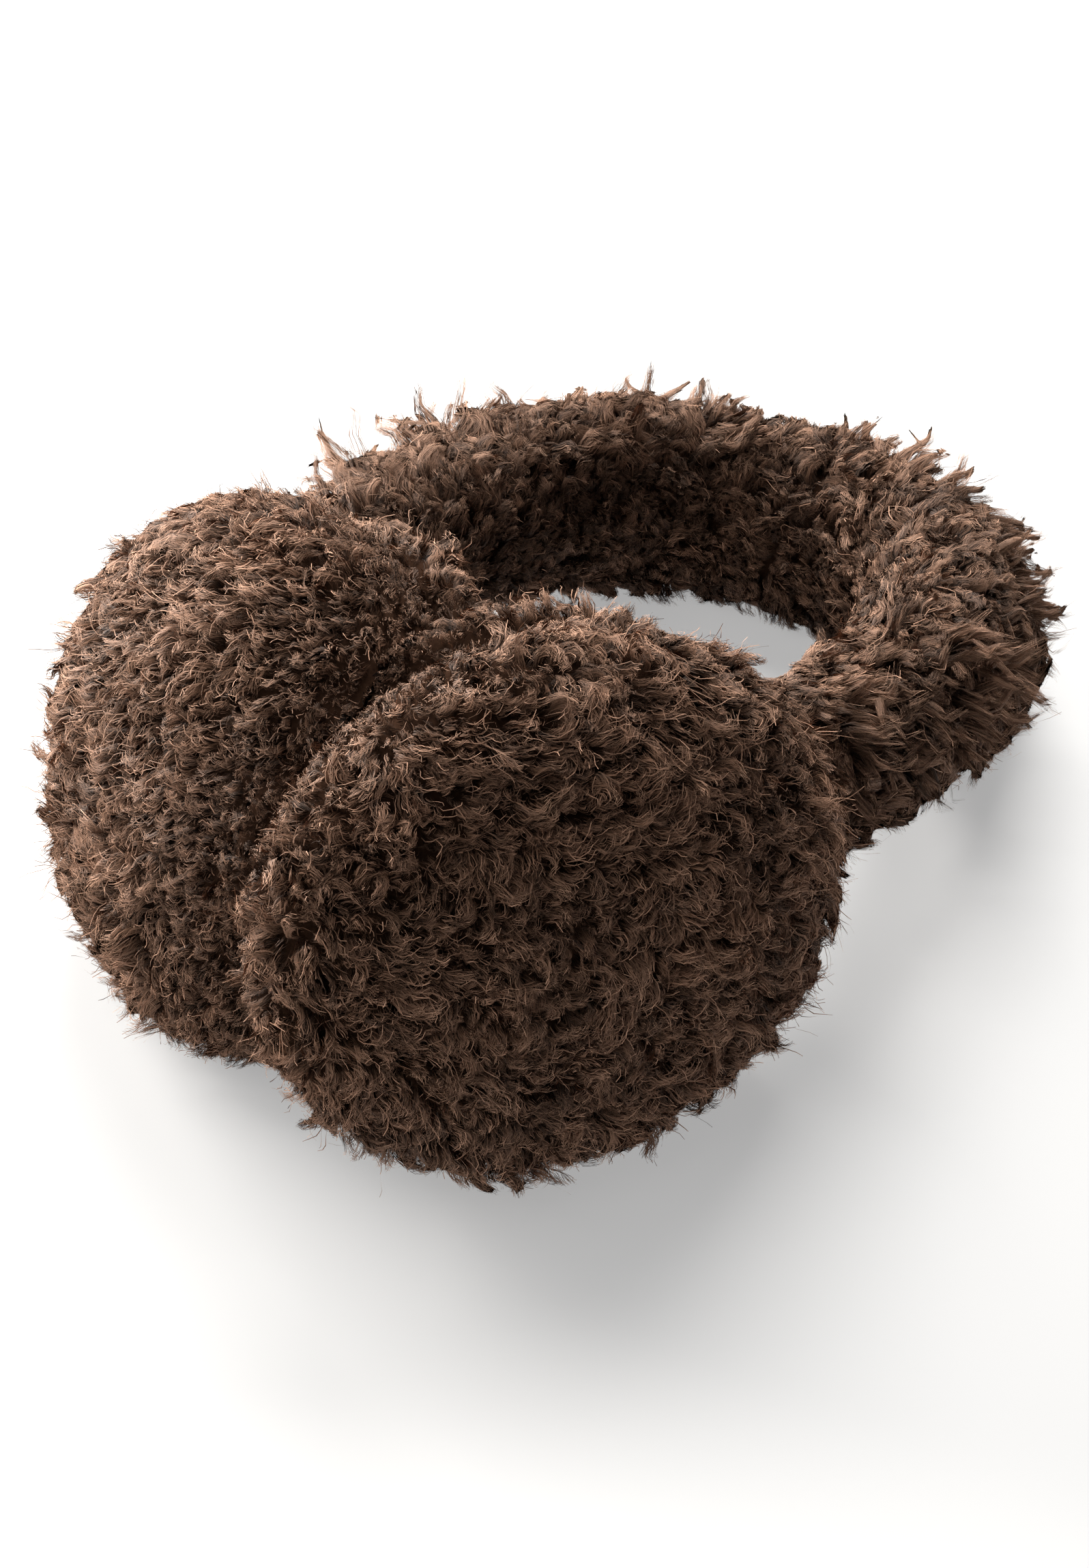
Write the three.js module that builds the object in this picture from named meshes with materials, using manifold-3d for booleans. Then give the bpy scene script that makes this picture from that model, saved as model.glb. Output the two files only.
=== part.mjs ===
// Fur earmuffs lying on a table. Two thick ear cups of deep curly fur face each other at the -Y end, each
// with an ear pad on its inner side, and a fur-covered headband loops from one to the other through +Y.
// Millimetres, +Z up. It stands on z = 0 with its bounding box centred on the origin. Right is +X.
import * as THREE from "three";
import { mergeVertices } from "three/addons/utils/BufferGeometryUtils.js";
import Module from "manifold-3d";

const wasm = await Module();
wasm.setup();

// Ear cup without its fur: an oval dome that bulges away from the head
const cupWidth = 133;
const cupHeight = 118;
const cupDepth = 48;
const cupRoll = 15; // height of the rolled edge, from the seam to the widest ring
const cupFullness = 2.2; // 2 makes an ellipse, more is squarer
const seamTuck = 7; // how far the seam is pulled in from the widest ring

// Ear pad on the inner side of the cup
const padInset = 5; // how much smaller than the cup it is, all round
const padDepth = 20;
const padFullness = 2.6;

// Headband: a fur tube whose plane slopes from the cups down to the table
const bandWidth = 128; // between the centre lines of its two sides
const bandLength = 172; // of the whole arc's centre line, before its ends are left off
const bandSquareness = 2.47;
const bandWrap = 118; // degrees from the middle round to each end
const bandThickness = 36; // radially, without fur
const bandHeight = 42; // without fur
const bandEndTaper = 0.68; // size of its ends as a share of its middle
const bandRise = 50; // from the middle's centre line up to where the arc would close

// How each cup sits: the middle of its seam, the way its outer side faces (degrees turned to the front and
// tipped up), and how far it is rolled, back end down
const cupSeats = [
  { name: "right", side: 1, across: 24, along: -15, toeIn: 29, lean: 9, roll: 13, furSeed: 11 },
  { name: "left", side: -1, across: 30, along: -5, toeIn: 58, lean: 21, roll: 13, furSeed: 12 },
];

// Fur as tapered tufts that bend over, fused to each backing: length along the tuft, and how far it stands out
const cupTuft = { length: 20, radius: 10, proud: 9 };
const padTuft = { length: 12, radius: 8, proud: 5 };
const bandTuft = { length: 19, radius: 9.5, proud: 9.5 };
const cupTuftCount = 43;
const rimTuftCount = 14;
const padTuftCount = 15;
const bandTuftPitch = 26;
const bandTuftRows = 6;
const bandFurSeed = 5;
const crownSpread = 1; // radians that a tuft on the crown may turn away from the flow of the fur
const rimSpread = 0.4;
const tuftSides = 4;
const tuftSink = 3; // depth of a tuft's root inside its backing

const gap = 0.3; // between neighbouring pieces
const cutClearance = 0.5; // growth of a cup where its neighbours are cut to fit it
const floorPress = 1.2; // depth of fur that the table presses flat
const roundSteps = 20;
const bandSteps = 26;
const bandSides = 8;

const goldenAngle = Math.PI * (3 - Math.sqrt(5));
const up = new THREE.Vector3(0, 0, 1);
const radians = THREE.MathUtils.degToRad;

// The same numbers from 0 to 1 on every run
function randomFrom(seed) {
  let state = seed;
  return () => {
    state = (state * 1664525 + 1013904223) % 4294967296;
    return state / 4294967296;
  };
}

function solid(geometry) {
  const bare = new THREE.BufferGeometry();
  bare.setAttribute("position", geometry.getAttribute("position"));
  bare.setIndex(geometry.index);
  const merged = mergeVertices(bare, 1e-3);
  return new wasm.Manifold(
    new wasm.Mesh({
      numProp: 3,
      vertProperties: merged.attributes.position.array,
      triVerts: new Uint32Array(merged.index.array),
    }),
  );
}

function geometryOf(manifold) {
  const mesh = manifold.getMesh();
  const geometry = new THREE.BufferGeometry();
  geometry.setAttribute("position", new THREE.BufferAttribute(mesh.vertProperties, 3));
  geometry.setIndex(new THREE.BufferAttribute(mesh.triVerts, 1));
  geometry.computeVertexNormals();
  return geometry;
}

// Cutting can leave crumbs of fur beside the body
function largestBody(manifold) {
  return manifold.decompose().reduce((a, b) => (a.volume() > b.volume() ? a : b));
}

// A cone that starts along the normal and bends over towards the lean direction
function tuft(root, normal, lean, size, grow = 0) {
  const length = size.length + 2 * grow;
  const proud = size.proud + grow;
  const reach = Math.sqrt(Math.max(2 * ((2 * length) / Math.PI) ** 2 - proud ** 2, 1));
  const cone = new THREE.ConeGeometry(size.radius + grow, length + tuftSink, tuftSides, 2);
  cone.translate(0, (length - tuftSink) / 2, 0);
  const places = cone.getAttribute("position");
  for (let i = 0; i < places.count; i++) {
    const [x, y, z] = [places.getX(i), places.getY(i), places.getZ(i)];
    const turn = (Math.max(y, 0) / length) * (Math.PI / 2);
    const tangent = new THREE.Vector2(reach * Math.sin(turn), proud * Math.cos(turn)).normalize();
    places.setXYZ(
      i,
      reach * (1 - Math.cos(turn)) + x * tangent.y,
      proud * Math.sin(turn) + Math.min(y, 0) - x * tangent.x,
      z,
    );
  }
  const side = new THREE.Vector3().crossVectors(lean, normal);
  cone.applyMatrix4(new THREE.Matrix4().makeBasis(lean, normal, side).setPosition(root));
  return solid(cone);
}

// A direction along the surface, turned about the normal from the one wanted
function leanAlong(normal, wanted, turn) {
  const lean = wanted.clone().addScaledVector(normal, -wanted.dot(normal)).normalize();
  return lean.applyAxisAngle(normal, turn);
}

// Places on the ear cup's dome, in the cup's frame: Y outward, X along the head, Z up
function crownPoint(round, rise, grow = 0) {
  const radius = (cupHeight / 2 + grow) * Math.cos(rise) ** (2 / cupFullness);
  const height = cupRoll + (cupDepth - cupRoll + grow) * Math.sin(rise) ** (2 / cupFullness);
  const stretch = (cupWidth / 2 + grow) / (cupHeight / 2 + grow);
  return new THREE.Vector3(radius * Math.cos(round) * stretch, height, radius * Math.sin(round));
}

function crownNormal(round, rise) {
  const step = 0.01;
  const here = crownPoint(round, rise);
  const ahead = crownPoint(round + step, rise).sub(here);
  const above = crownPoint(round, rise + step).sub(here);
  return ahead.cross(above).normalize().negate();
}

function oval(profile, width, height) {
  const lathe = new THREE.LatheGeometry(profile, roundSteps);
  return lathe.scale(width / height, 1, 1);
}

function cupBacking(grow = 0) {
  const radius = cupHeight / 2 + grow;
  const profile = [new THREE.Vector2(0, -grow), new THREE.Vector2(radius - seamTuck, -grow)];
  for (const share of [0.35, 0.7]) {
    const turn = (share * Math.PI) / 2;
    profile.push(
      new THREE.Vector2(radius - seamTuck * (1 - Math.sin(turn)), cupRoll * (1 - Math.cos(turn))),
    );
  }
  for (const share of [0, 0.16, 0.32, 0.48, 0.64, 0.82]) {
    const place = crownPoint(Math.PI / 2, (share * Math.PI) / 2, grow);
    profile.push(new THREE.Vector2(place.z, place.y));
  }
  profile.push(new THREE.Vector2(0, cupDepth + grow));
  return solid(oval(profile, cupWidth + 2 * grow, cupHeight + 2 * grow));
}

// Tufts spiral over the crown, with one ring round the widest part. They flow from the crown to the rim
function cupFur(seed, grow = 0) {
  const random = randomFrom(seed);
  const tufts = [];
  for (let i = 0; i < cupTuftCount; i++) {
    const rise = Math.asin(1 - (i + 0.5) / cupTuftCount);
    const round = i * goldenAngle;
    const root = crownPoint(round, rise);
    const normal = crownNormal(round, rise);
    const outward = new THREE.Vector3(root.x, -cupDepth / 2, root.z);
    const turn = crownSpread * (2 * random() - 1);
    tufts.push(tuft(root, normal, leanAlong(normal, outward, turn), cupTuft, grow));
  }
  for (let i = 0; i < rimTuftCount; i++) {
    const round = ((i + 0.5) / rimTuftCount) * 2 * Math.PI;
    const root = crownPoint(round, 0);
    const normal = new THREE.Vector3(root.x, 0, root.z).normalize();
    root.y -= cupRoll / 3;
    const along = new THREE.Vector3(-root.z, 0, root.x);
    const turn = rimSpread * (2 * random() - 1);
    tufts.push(tuft(root, normal, leanAlong(normal, along, turn), cupTuft, grow));
  }
  return wasm.Manifold.union(tufts);
}

function padBacking(grow = 0) {
  const radius = cupHeight / 2 - padInset + grow;
  const depth = padDepth + grow;
  const profile = [new THREE.Vector2(0, -gap - depth)];
  for (const share of [0.8, 0.6, 0.4, 0.2, 0]) {
    const turn = (share * Math.PI) / 2;
    const height = depth / 2 + (depth / 2) * Math.sin(turn) ** (2 / padFullness);
    profile.push(new THREE.Vector2(radius * Math.cos(turn) ** (2 / padFullness), -gap - height));
  }
  profile.push(new THREE.Vector2(radius - seamTuck / 2, -gap + grow));
  profile.push(new THREE.Vector2(0, -gap + grow));
  return solid(oval(profile, cupWidth - 2 * padInset + 2 * grow, cupHeight - 2 * padInset + 2 * grow));
}

// A single ring of short tufts stands round the pad's edge
function padFur(seed, grow = 0) {
  const random = randomFrom(seed);
  const tufts = [];
  for (let i = 0; i < padTuftCount; i++) {
    const round = (i / padTuftCount) * 2 * Math.PI;
    const root = new THREE.Vector3(
      (cupWidth / 2 - padInset) * Math.cos(round),
      -gap - padDepth / 2,
      (cupHeight / 2 - padInset) * Math.sin(round),
    );
    const normal = new THREE.Vector3(root.x, 0, root.z).normalize();
    const along = new THREE.Vector3(-root.z, 0, root.x);
    const turn = rimSpread * (2 * random() - 1);
    tufts.push(tuft(root, normal, leanAlong(normal, along, turn), padTuft, grow));
  }
  return wasm.Manifold.union(tufts);
}

// The headband's centre line: a squarish arc that slopes down to the table at its middle
class BandLine extends THREE.Curve {
  getPoint(t, target = new THREE.Vector3()) {
    const turn = radians(bandWrap) * (2 * t - 1);
    const across = Math.sign(Math.sin(turn)) * Math.abs(Math.sin(turn)) ** (2 / bandSquareness);
    const along = Math.sign(Math.cos(turn)) * Math.abs(Math.cos(turn)) ** (2 / bandSquareness);
    const y = (bandLength / 2) * (1 + along);
    const z = bandHeight / 2 - floorPress + bandRise * (1 - y / bandLength);
    return target.set((bandWidth / 2) * across, y, z);
  }

  // The section's X points out of the loop and its Y up. Their lengths taper the section
  computeFrenetFrames(segments) {
    const frames = { tangents: [], normals: [], binormals: [] };
    for (let i = 0; i <= segments; i++) {
      const { tangent, outward, upward } = this.frameAt(i / segments);
      const size = this.sizeAt(i / segments);
      frames.tangents.push(tangent);
      frames.normals.push(outward.multiplyScalar(size));
      frames.binormals.push(upward.multiplyScalar(size));
    }
    return frames;
  }

  frameAt(share) {
    const tangent = this.getTangentAt(share);
    const outward = new THREE.Vector3().crossVectors(up, tangent).normalize();
    const upward = new THREE.Vector3().crossVectors(tangent, outward);
    return { tangent, outward, upward };
  }

  sizeAt(share) {
    return 1 - (1 - bandEndTaper) * Math.abs(2 * share - 1) ** 2;
  }
}

const bandLine = new BandLine();

function bandBacking() {
  const section = new THREE.Shape();
  for (let i = 0; i < bandSides; i++) {
    const turn = (i / bandSides) * 2 * Math.PI;
    const [x, y] = [(bandThickness / 2) * Math.cos(turn), (bandHeight / 2) * Math.sin(turn)];
    if (i) section.lineTo(x, y);
    else section.moveTo(x, y);
  }
  return solid(new THREE.ExtrudeGeometry(section, { steps: bandSteps, extrudePath: bandLine }));
}

// Rings of tufts along the headband, each ring turned half a step from the last
function bandFur() {
  const random = randomFrom(bandFurSeed);
  const rings = Math.round(bandLine.getLength() / bandTuftPitch);
  const tufts = [];
  for (let ring = 1; ring < rings; ring++) {
    const share = ring / rings;
    const { tangent, outward, upward } = bandLine.frameAt(share);
    for (let row = 0; row < bandTuftRows; row++) {
      const turn = ((row + (ring % 2) / 2) / bandTuftRows) * 2 * Math.PI;
      const size = bandLine.sizeAt(share);
      const reach = outward.clone().multiplyScalar((bandThickness / 2) * Math.cos(turn) * size);
      reach.addScaledVector(upward, (bandHeight / 2) * Math.sin(turn) * size);
      const root = bandLine.getPointAt(share).add(reach);
      const lean = leanAlong(reach.normalize(), tangent, random() * 2 * Math.PI);
      tufts.push(tuft(root, reach, lean, bandTuft));
    }
  }
  return wasm.Manifold.union(tufts);
}

// A cup's place in the assembly. Its lowest point is pressed a little way into the table
function cupFrame({ side, across, along, toeIn, lean, roll }) {
  const outward = new THREE.Vector3(
    side * Math.cos(radians(toeIn)) * Math.cos(radians(lean)),
    -Math.sin(radians(toeIn)) * Math.cos(radians(lean)),
    Math.sin(radians(lean)),
  );
  const level = new THREE.Vector3().crossVectors(outward, up).normalize();
  level.applyAxisAngle(outward, -side * radians(roll));
  const upward = new THREE.Vector3().crossVectors(level, outward);
  const frame = new THREE.Matrix4().makeBasis(level, outward, upward);
  const standing = cupBacking().transform(frame.elements).boundingBox();
  return frame.setPosition(side * across, along, -floorPress - standing.min[2]);
}

function boxBetween(low, high) {
  const size = new THREE.Vector3().subVectors(high, low);
  const middle = new THREE.Vector3().addVectors(low, high).multiplyScalar(0.5);
  return solid(new THREE.BoxGeometry(size.x, size.y, size.z).translate(middle.x, middle.y, middle.z));
}

const far = bandLength + bandWidth + cupWidth; // beyond the whole object on every side
const underTable = boxBetween(new THREE.Vector3(-far, -far, -far), new THREE.Vector3(far, far, 0));

// What lies beyond the seam between a cup and its pad, in the cup's frame
function beyondSeam(sign) {
  const [low, high] = sign > 0 ? [-far, 0] : [-gap, far];
  return boxBetween(new THREE.Vector3(-far, low, -far), new THREE.Vector3(far, high, far));
}

function furMaterial(color) {
  return new THREE.MeshStandardMaterial({ color, roughness: 0.95, metalness: 0 });
}

function mesh(name, manifold, color) {
  const made = new THREE.Mesh(geometryOf(largestBody(manifold)), furMaterial(color));
  made.name = name;
  return made;
}

const earmuffs = new THREE.Group();

// The right cup and pad keep their form. What comes after is cut to fit beside what is there already
let taken = underTable;

for (const seat of cupSeats) {
  const frame = cupFrame(seat);
  const inCup = taken.transform(frame.clone().invert().elements);
  const cup = cupBacking().add(cupFur(seat.furSeed).subtract(beyondSeam(1)));
  const pad = padBacking().add(padFur(seat.furSeed).subtract(beyondSeam(-1)));
  const grownCup = cupBacking(cutClearance).add(cupFur(seat.furSeed, cutClearance));
  const grownPad = padBacking(cutClearance).add(padFur(seat.furSeed, cutClearance));
  taken = taken.add(grownCup.add(grownPad).transform(frame.elements));

  const group = new THREE.Group();
  group.applyMatrix4(frame);
  group.add(mesh(seat.name + "_ear_cup", cup.subtract(inCup), 0x4a3a30));
  group.add(mesh(seat.name + "_ear_pad", pad.subtract(inCup), 0x54443a));
  earmuffs.add(group);
}

earmuffs.add(mesh("headband", bandBacking().add(bandFur()).subtract(taken), 0x463730));

const around = new THREE.Box3().setFromObject(earmuffs, true);
const centre = around.getCenter(new THREE.Vector3());
earmuffs.position.set(-centre.x, -centre.y, -around.min.z);

export default earmuffs;
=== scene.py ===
import math
import time

import bmesh
import bpy
import numpy as np
from mathutils import Matrix, Vector, kdtree, noise


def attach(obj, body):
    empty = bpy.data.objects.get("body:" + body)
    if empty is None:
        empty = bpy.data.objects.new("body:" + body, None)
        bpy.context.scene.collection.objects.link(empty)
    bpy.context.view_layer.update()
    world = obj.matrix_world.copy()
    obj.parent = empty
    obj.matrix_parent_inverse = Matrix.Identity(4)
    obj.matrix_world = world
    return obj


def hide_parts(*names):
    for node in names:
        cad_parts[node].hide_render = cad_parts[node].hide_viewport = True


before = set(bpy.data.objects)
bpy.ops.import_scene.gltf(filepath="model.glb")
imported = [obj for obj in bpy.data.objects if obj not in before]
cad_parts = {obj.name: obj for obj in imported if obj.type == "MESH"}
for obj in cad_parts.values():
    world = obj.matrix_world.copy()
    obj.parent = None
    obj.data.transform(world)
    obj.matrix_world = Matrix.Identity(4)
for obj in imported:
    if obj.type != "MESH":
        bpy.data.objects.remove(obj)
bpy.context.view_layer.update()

scene = bpy.context.scene
startTime = time.time()
noise.seed_set(5)  # its vectors start from the clock otherwise


def report(stage):
    print(f"{stage} ({time.time() - startTime:.1f} s)")


# Backings under the fur, in metres, with the sizes and places of the solid model

cupShape = {
    "width": 0.133,
    "height": 0.118,
    "depth": 0.048,
    "roll": 0.015,  # height of the rolled edge above the seam
    "fullness": 2.2,  # 2 is an ellipse, more is boxier
    "seamTuck": 0.007,  # how far the edge draws in at the seam
    "edgePoints": 7,
    "crownPoints": 26,
    "stepsAround": 84,
}

padShape = {
    "inset": 0.005,  # from the cup's edge
    "depth": 0.020,
    "fullness": 2.6,
    "gap": 0.0003,  # to its cup
    "edgePoints": 20,
}

bandShape = {
    "width": 0.128,  # between the middles of its two sides
    "length": 0.172,
    "squareness": 2.47,  # 2 is an ellipse here too
    "wrap": math.radians(118),  # to each side of the middle
    "thickness": 0.036,
    "height": 0.042,
    "endTaper": 0.68,  # size of its ends, against its middle
    "rise": 0.050,  # of its ends over its middle
    "routePoints": 801,
    "tangentStep": 0.002,  # as a share of the route
    "stepsAlong": 120,
    "stepsAround": 40,
}

# Angles are in degrees

cupSeats = {
    "right": {"side": 1, "across": 0.024, "along": -0.015, "toeIn": 29, "lean": 9, "roll": 13},
    "left": {"side": -1, "across": 0.030, "along": -0.005, "toeIn": 58, "lean": 21, "roll": 13},
}

layout = {
    "floorPress": 0.0012,  # how far the backings are pressed into the table
    "centring": Vector((0.0084126, -0.0527554, 0)),  # brings the whole to the frame's origin
    "clearance": 0.0005,  # between pieces that touch
    "floorSkin": 0.0003,  # nothing is lower
    "weld": 1e-5,
}


def superPower(value, fullness):
    return np.sign(value) * np.abs(value) ** (2 / fullness)


def cupOutline():
    radius = cupShape["height"] / 2
    edge = np.linspace(0, math.pi / 2, cupShape["edgePoints"], endpoint=False)
    rise = np.linspace(0, math.pi / 2, cupShape["crownPoints"])
    crownHeight = cupShape["depth"] - cupShape["roll"]
    edgeRadii = radius - cupShape["seamTuck"] * (1 - np.sin(edge))
    edgeHeights = cupShape["roll"] * (1 - np.cos(edge))
    crownRadii = radius * superPower(np.cos(rise), cupShape["fullness"])
    crownHeights = cupShape["roll"] + crownHeight * superPower(np.sin(rise), cupShape["fullness"])
    radii = np.concatenate([[0], edgeRadii, crownRadii])
    return np.maximum(radii, 0), np.concatenate([[0], edgeHeights, crownHeights])


def padOutline():
    radius = cupShape["height"] / 2 - padShape["inset"]
    turn = np.linspace(0, math.pi / 2, padShape["edgePoints"])
    edgeRadii = radius * superPower(np.cos(turn), padShape["fullness"])
    edgeHeights = padShape["depth"] / 2 * (1 + superPower(np.sin(turn), padShape["fullness"]))
    radii = np.concatenate([[0, radius - cupShape["seamTuck"] / 2], edgeRadii])
    heights = -padShape["gap"] - np.concatenate([[0, 0], edgeHeights])
    return np.maximum(radii, 0), heights


def spunShell(outline, width, height, grow=0):
    shell = bmesh.new()
    radii, heights = outline
    middle = (heights.max() + heights.min()) / 2
    radii = radii + grow * (radii > 0)
    heights = heights + grow * np.sign(heights - middle)
    verts = [shell.verts.new((radius, h, 0)) for radius, h in zip(radii, heights)]
    edges = [shell.edges.new(pair) for pair in zip(verts, verts[1:])]
    bmesh.ops.spin(
        shell,
        geom=verts + edges,
        cent=(0, 0, 0),
        axis=(0, 1, 0),
        dvec=(0, 0, 0),
        angle=2 * math.pi,
        steps=cupShape["stepsAround"],
        use_merge=True,
        use_duplicate=False,
    )
    bmesh.ops.remove_doubles(shell, verts=shell.verts, dist=layout["weld"])
    bmesh.ops.scale(shell, vec=(width / height, 1, 1), verts=shell.verts)
    bmesh.ops.recalc_face_normals(shell, faces=shell.faces)
    return shell


def cupShell(grow=0):
    return spunShell(cupOutline(), cupShape["width"], cupShape["height"], grow)


def padShell(grow=0):
    inset = 2 * padShape["inset"]
    return spunShell(padOutline(), cupShape["width"] - inset, cupShape["height"] - inset, grow)


def cupFrame(seat):
    toeIn, lean, roll = (math.radians(seat[key]) for key in ("toeIn", "lean", "roll"))
    side = seat["side"]
    leaned = math.cos(lean)
    outward = Vector((side * math.cos(toeIn) * leaned, -math.sin(toeIn) * leaned, math.sin(lean)))
    level = outward.cross(Vector((0, 0, 1))).normalized()
    level.rotate(Matrix.Rotation(-side * roll, 3, outward))
    turned = Matrix((level, outward, level.cross(outward))).transposed().to_4x4()
    shell = cupShell()
    lowest = min((turned @ vert.co).z for vert in shell.verts)
    shell.free()
    place = Vector((side * seat["across"], seat["along"], -layout["floorPress"] - lowest))
    return Matrix.Translation(place + layout["centring"]) @ turned


def bandPoint(share):
    turn = bandShape["wrap"] * (2 * share - 1)
    across = superPower(math.sin(turn), bandShape["squareness"])
    along = (1 + superPower(math.cos(turn), bandShape["squareness"])) / 2
    height = bandShape["height"] / 2 - layout["floorPress"] + bandShape["rise"] * (1 - along)
    place = Vector((bandShape["width"] / 2 * across, bandShape["length"] * along, height))
    return place + layout["centring"]


bandPoints = [bandPoint(share) for share in np.linspace(0, 1, bandShape["routePoints"])]
bandSteps = [(end - start).length for start, end in zip(bandPoints, bandPoints[1:])]
bandRun = np.append(0, np.cumsum(bandSteps))


def bandFrame(share):
    place = np.interp(share * bandRun[-1], bandRun, np.linspace(0, 1, len(bandRun)))
    step = bandShape["tangentStep"]
    tangent = (bandPoint(min(place + step, 1)) - bandPoint(max(place - step, 0))).normalized()
    outward = Vector((0, 0, 1)).cross(tangent).normalized()
    return bandPoint(place), outward, tangent.cross(outward)


def bandShell():
    shell = bmesh.new()
    steps = {"x_segments": bandShape["stepsAlong"], "y_segments": bandShape["stepsAround"]}
    bmesh.ops.create_grid(shell, **steps, size=0.5)
    for vert in shell.verts:
        share = vert.co.x + 0.5
        turn = (vert.co.y + 0.5) * 2 * math.pi
        middle, outward, upward = bandFrame(share)
        size = 1 - (1 - bandShape["endTaper"]) * (2 * share - 1) ** 2
        across = bandShape["thickness"] / 2 * math.cos(turn) * outward
        vert.co = middle + size * (across + bandShape["height"] / 2 * math.sin(turn) * upward)
    bmesh.ops.remove_doubles(shell, verts=shell.verts, dist=layout["weld"])
    bmesh.ops.holes_fill(shell, edges=shell.edges, sides=0)
    bmesh.ops.recalc_face_normals(shell, faces=shell.faces)
    return shell


# Cutting may leave corners and faces in another order each time, so both are sorted. The fur's
# random draws then fall on the same faces in each run

def sortedMesh(mesh):
    points = np.array([vert.co[:] for vert in mesh.vertices])
    order = np.lexsort(np.round(points, 6).T)
    rank = np.empty(len(order), int)
    rank[order] = np.arange(len(order))
    faces = [[int(rank[index]) for index in face.vertices] for face in mesh.polygons]
    faces = sorted(face[face.index(min(face)):] + face[: face.index(min(face))] for face in faces)
    result = bpy.data.meshes.new("backing")
    result.from_pydata(points[order].tolist(), [], faces)
    return result


def asMesh(shell, place=Matrix()):
    bmesh.ops.transform(shell, matrix=place, verts=shell.verts)
    mesh = bpy.data.meshes.new("backing")
    shell.to_mesh(mesh)
    shell.free()
    return sortedMesh(mesh)


def carved(mesh, cutters):
    piece = bpy.data.objects.new("carved", mesh)
    scene.collection.objects.link(piece)
    for cutter in cutters:
        tool = bpy.data.objects.new("cutter", cutter)
        scene.collection.objects.link(tool)
        cut = piece.modifiers.new("cut", "BOOLEAN")
        cut.operation = "DIFFERENCE"
        cut.object = tool
    evaluated = piece.evaluated_get(bpy.context.evaluated_depsgraph_get())
    result = bpy.data.meshes.new_from_object(evaluated)
    for used in [piece, *(cut.object for cut in piece.modifiers)]:
        bpy.data.objects.remove(used)
    return sortedMesh(result)


def meshArrays(mesh):
    points = np.empty(len(mesh.vertices) * 3, np.float32)
    mesh.vertices.foreach_get("co", points)
    points = points.reshape(-1, 3).astype(float)
    points[:, 2] = np.maximum(points[:, 2], layout["floorSkin"])
    mesh.calc_loop_triangles()
    faces = np.empty(len(mesh.loop_triangles) * 3, np.int32)
    mesh.loop_triangles.foreach_get("vertices", faces)
    faces = faces.reshape(-1, 3)
    first, second, third = (points[faces[:, corner]] for corner in range(3))
    across = np.cross(second - first, third - first)
    normals = np.zeros_like(points)
    for corner in range(3):
        np.add.at(normals, faces[:, corner], across)
    return points, faces, unit(normals), np.linalg.norm(across, axis=1) / 2


def unit(vectors):
    return vectors / np.maximum(np.linalg.norm(vectors, axis=-1, keepdims=True), 1e-12)


def dot(a, b):
    return (a * b).sum(-1, keepdims=True)


def cuttersAt(place):
    return [asMesh(shell(layout["clearance"]), place) for shell in (cupShell, padShell)]


frames = {name: cupFrame(seat) for name, seat in cupSeats.items()}
rightCutters = cuttersAt(frames["right"])
leftCutters = cuttersAt(frames["left"])
backings = {
    "right_ear_cup": asMesh(cupShell(), frames["right"]),
    "right_ear_pad": asMesh(padShell(), frames["right"]),
    "left_ear_cup": carved(asMesh(cupShell(), frames["left"]), rightCutters),
    "left_ear_pad": carved(asMesh(padShell(), frames["left"]), rightCutters),
    "headband": carved(asMesh(bandShell()), rightCutters + leftCutters),
}
report("backings")


# Fur: it grows in locks, each a curling guide that bundles of fibres and fine single hairs follow

cupFur = {
    "bundles": 16200,
    "hairs": 7500,
    "lockWidth": 0.0034,  # between the middles of neighbouring locks
    "length": 0.0100,
    "lengthSpread": 0.18,
    "stray": 1.0,  # how unlike each other a lock's fibres are
    "rootLift": 1.4,  # radians above the surface, at the root
    "tipLift": -0.8,
    "curl": 4.0,  # radians that a lock turns sideways along its length
    "ripple": 0.0004,  # height of the waves along a strand
    "tipSpread": 0.95,  # width of a lock's tip, as a share of its root's
    "brush": 1.0,  # strength of the combing, against the swirls
    "brushOutward": 1.0,  # below zero, it is brushed towards the head
    "swirl": 0.8,
    "swirlSize": 0.024,  # from one to the next
    "seamReach": 0.016,  # distance from the seam at which the fur has its full length and no painted shade
    "spikes": 0.0,  # share of the locks on the outer rim that stand up and end in a point
    "spikeLength": 1.0,
}

padFur = {
    **cupFur,
    "bundles": 8600,
    "hairs": 4100,
    "length": 0.0080,
    "lockWidth": 0.0032,
    "seamReach": 0.011,
    "brushOutward": -0.8,
}

bandFur = {
    **cupFur,
    "bundles": 21700,
    "hairs": 1400,
    "lockWidth": 0.0049,
    "length": 0.0130,
    "lengthSpread": 0.15,
    "stray": 0.6,
    "tipLift": -0.6,
    "tipSpread": 0.8,
    "curl": 4.4,
    "ripple": 0.0012,
    "brush": 0.6,
    "spikes": 0.42,
    "spikeLength": 1.15,
}

upperBandFur = {**bandFur, "bundles": 21400, "hairs": 1900}

bundleFibre = {
    "width": 0.00210,
    "stops": (0, 0.4, 0.6, 0.8, 1),  # where along its lock it has a corner
    "tones": (0.0, 0.88),  # where on the map its columns are, from dark to light
    "reach": 0.012,  # half its width on the map: all of a column
    "stray": 1.5,
    "loose": 0.0,  # share that leave their lock
    "raised": 0.0,  # radians
    "curliness": 1.0,
    "pull": 0.8,  # how closely the rest keep to it
}

hairFibre = {
    "width": 0.00018,
    "stops": (0.4, 0.55, 0.7, 0.85, 1),
    "tones": (0.905, 0.995),
    "reach": 0.002,
    "stray": 1.4,
    "loose": 0.6,
    "raised": 0.3,
    "curliness": 0.4,
    "pull": 0.5,
}

# Shares and factors, unless a note says otherwise. A patch is a stretch of longer, lighter locks

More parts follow.
